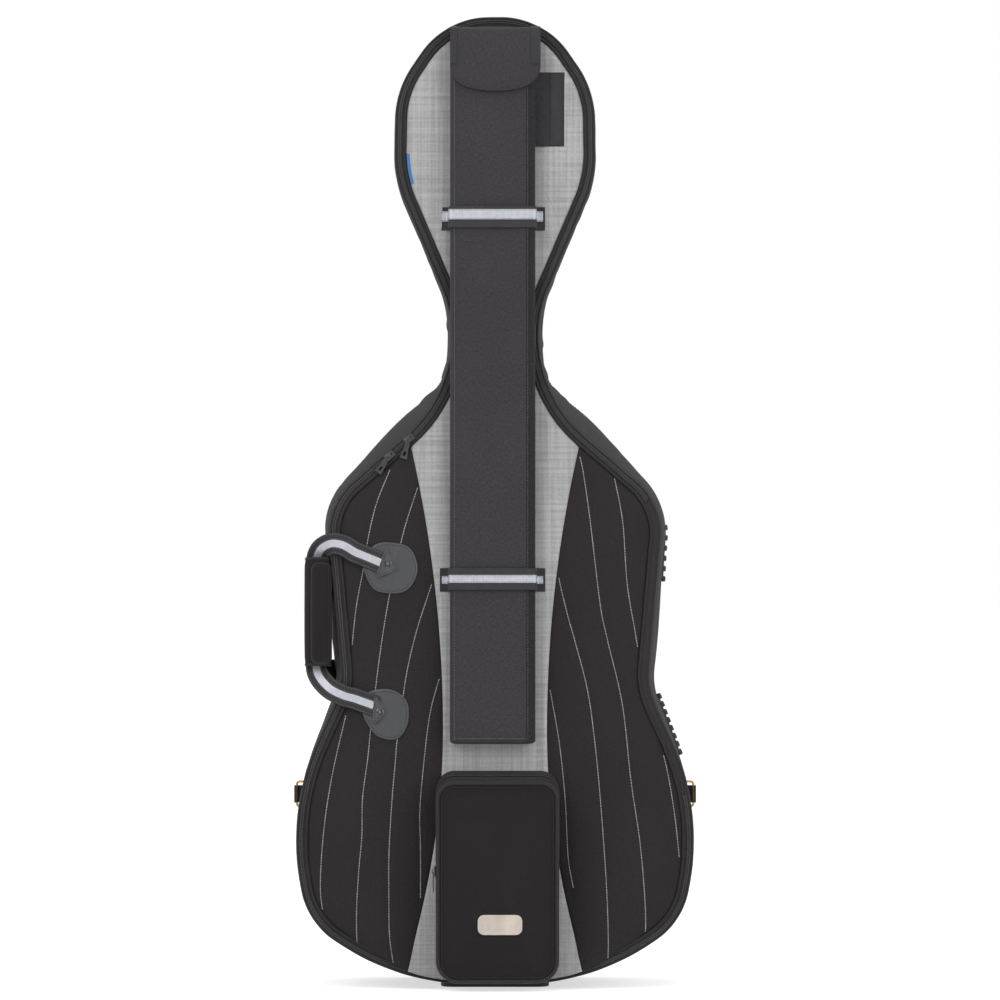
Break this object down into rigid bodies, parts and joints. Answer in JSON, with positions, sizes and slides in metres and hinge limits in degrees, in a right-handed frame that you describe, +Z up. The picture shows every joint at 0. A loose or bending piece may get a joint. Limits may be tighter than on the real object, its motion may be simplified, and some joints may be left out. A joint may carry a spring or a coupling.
{
  "type": "cello hard case",
  "caption": "Padded standing bag for a cello, with a zipped front, bow quiver, accessory pocket, carry handle and shoulder straps.",
  "frame": {"origin": "centre of the foot pad's underside, on the floor", "axes": "+Z up, -Y out of the zipped front, +X to the viewer's right when facing the front; the carry handle is on -X"},
  "size_m": [0.5762, 0.329, 1.3633],
  "materials": {
    "black_nylon": "black woven nylon, matt",
    "grey_nylon": "mid-grey woven nylon, slight sheen",
    "piping": "black cord piping",
    "foam": "closed-cell foam padding",
    "lining": "brushed grey lining cloth",
    "zip_tape": "grey-black nylon zip tape and coil",
    "slider_metal": "dark nickel",
    "webbing": "black ribbed webbing",
    "padding": "black padded nylon",
    "leather": "charcoal leather with a stitched edge",
    "rubber": "black moulded rubber",
    "ring_brass": "bright brass",
    "plate": "bare cream plate",
    "tag": "light blue ribbon"
  },
  "bodies": {
    "case": {"base_pad": "rubber", "upper_bumper": "rubber", "lower_bumper": "rubber", "left_shoulder_pad": "padding", "right_shoulder_pad": "padding", "left_ring": "ring_brass", "right_ring": "ring_brass", "left_ring_tab": "webbing", "right_ring_tab": "webbing", "left_shoulder_webbing": "webbing", "right_shoulder_webbing": "webbing", "neck_cradle": "foam", "wall_cloth": "black_nylon", "wall_foam": "foam", "wall_lining": "lining", "back_panel": "black_nylon", "back_foam": "foam", "back_lining": "lining", "back_piping": "piping", "wall_piping": "piping", "wall_zip_tape": "zip_tape", "wall_zip_coil": "zip_tape", "cloth_hinge": "black_nylon", "rear_handle_strap": "webbing"},
    "lid": {"front_piping": "piping", "front_zip_tape": "zip_tape", "front_zip_coil": "zip_tape", "centre_panel": "grey_nylon", "left_side_panel": "black_nylon", "right_side_panel": "black_nylon", "front_foam": "foam", "front_lining": "lining", "upper_keeper": "webbing", "lower_keeper": "webbing", "quiver_side_band": "webbing", "side_tag": "tag", "pocket_wall": "black_nylon", "pocket_lower_front": "black_nylon", "pocket_zip_back": "zip_tape", "name_plate": "plate", "upper_patch": "leather", "lower_patch": "leather", "upper_strap_end": "webbing", "lower_strap_end": "webbing"},
    "bow_quiver": {"quiver_lower": "black_nylon", "quiver_middle": "black_nylon", "quiver_upper": "black_nylon"},
    "quiver_lid": {"quiver_flap": "black_nylon"},
    "pocket_flap": {"pocket_upper_front": "black_nylon", "pocket_zip_front": "zip_tape"},
    "carry_handle": {"upper_handle_strap": "webbing", "lower_handle_strap": "webbing", "padded_grip": "padding"},
    "upper_slider": {"upper_zip_slider": "slider_metal"},
    "upper_pull": {"upper_zip_pull": "slider_metal"},
    "lower_slider": {"lower_zip_slider": "slider_metal"},
    "lower_pull": {"lower_zip_pull": "slider_metal"},
    "pocket_slider": {"pocket_zip_slider": "slider_metal"},
    "pocket_pull": {"pocket_zip_pull": "slider_metal"},
    "cradle_strap": {"neck_strap": "webbing"}
  },
  "joints": [
    {"name": "lid_hinge", "type": "hinge", "parent": "case", "child": "lid", "pos_m": [0.282, -0.1071, 0.21368], "axis": [-0.1151, 0.0591, 0.9916], "range_deg": [0, 150], "deforming": ["cloth_hinge"]},
    {"name": "quiver_slide", "type": "slide", "parent": "lid", "child": "bow_quiver", "axis": [0, 0.0595, 0.9982], "range_m": [0, 0.7]},
    {"name": "quiver_flap_hinge", "type": "hinge", "parent": "bow_quiver", "child": "quiver_lid", "pos_m": [0, -0.04278, 1.34346], "axis": [-1, 0, 0], "range_deg": [0, 90]},
    {"name": "pocket_flap_hinge", "type": "hinge", "parent": "lid", "child": "pocket_flap", "pos_m": [0, -0.15687, 0.17858], "axis": [1, 0, 0], "range_deg": [0, 75]},
    {"name": "handle_swing", "type": "hinge", "parent": "lid", "child": "carry_handle", "pos_m": [-0.196, -0.09624, 0.51357], "axis": [0, 0.0595, 0.9982], "range_deg": [0, 80]},
    {"name": "upper_slider_travel", "type": "hinge", "parent": "lid", "child": "upper_slider", "pos_m": [-0.24493, -0.0615, 0.91174], "axis": [0, -0.9982, 0.0595], "range_deg": [0, 25]},
    {"name": "upper_pull_swing", "type": "hinge", "parent": "upper_slider", "child": "upper_pull", "pos_m": [-0.12046, -0.07672, 0.76884], "axis": [-0.9559, 0.0175, 0.2931], "range_deg": [0, 120]},
    {"name": "lower_slider_travel", "type": "slide", "parent": "lid", "child": "lower_slider", "axis": [-0.7555, -0.039, -0.6539], "range_m": [0, 0.05]},
    {"name": "lower_pull_swing", "type": "hinge", "parent": "lower_slider", "child": "lower_pull", "pos_m": [-0.14766, -0.07813, 0.74529], "axis": [-0.8184, 0.0342, 0.5736], "range_deg": [0, 120]},
    {"name": "pocket_slider_travel", "type": "slide", "parent": "lid", "child": "pocket_slider", "axis": [0, 0.0595, 0.9982], "range_m": [0, 0.065]},
    {"name": "pocket_pull_swing", "type": "hinge", "parent": "pocket_slider", "child": "pocket_pull", "pos_m": [-0.086, -0.13213, 0.16509], "axis": [0, 0.9982, -0.0595], "range_deg": [0, 120]},
    {"name": "neck_strap_hinge", "type": "hinge", "parent": "case", "child": "cradle_strap", "pos_m": [-0.04, 0.0638, 0.9092], "axis": [0, 0, -1], "range_deg": [0, 80]}
  ]
}
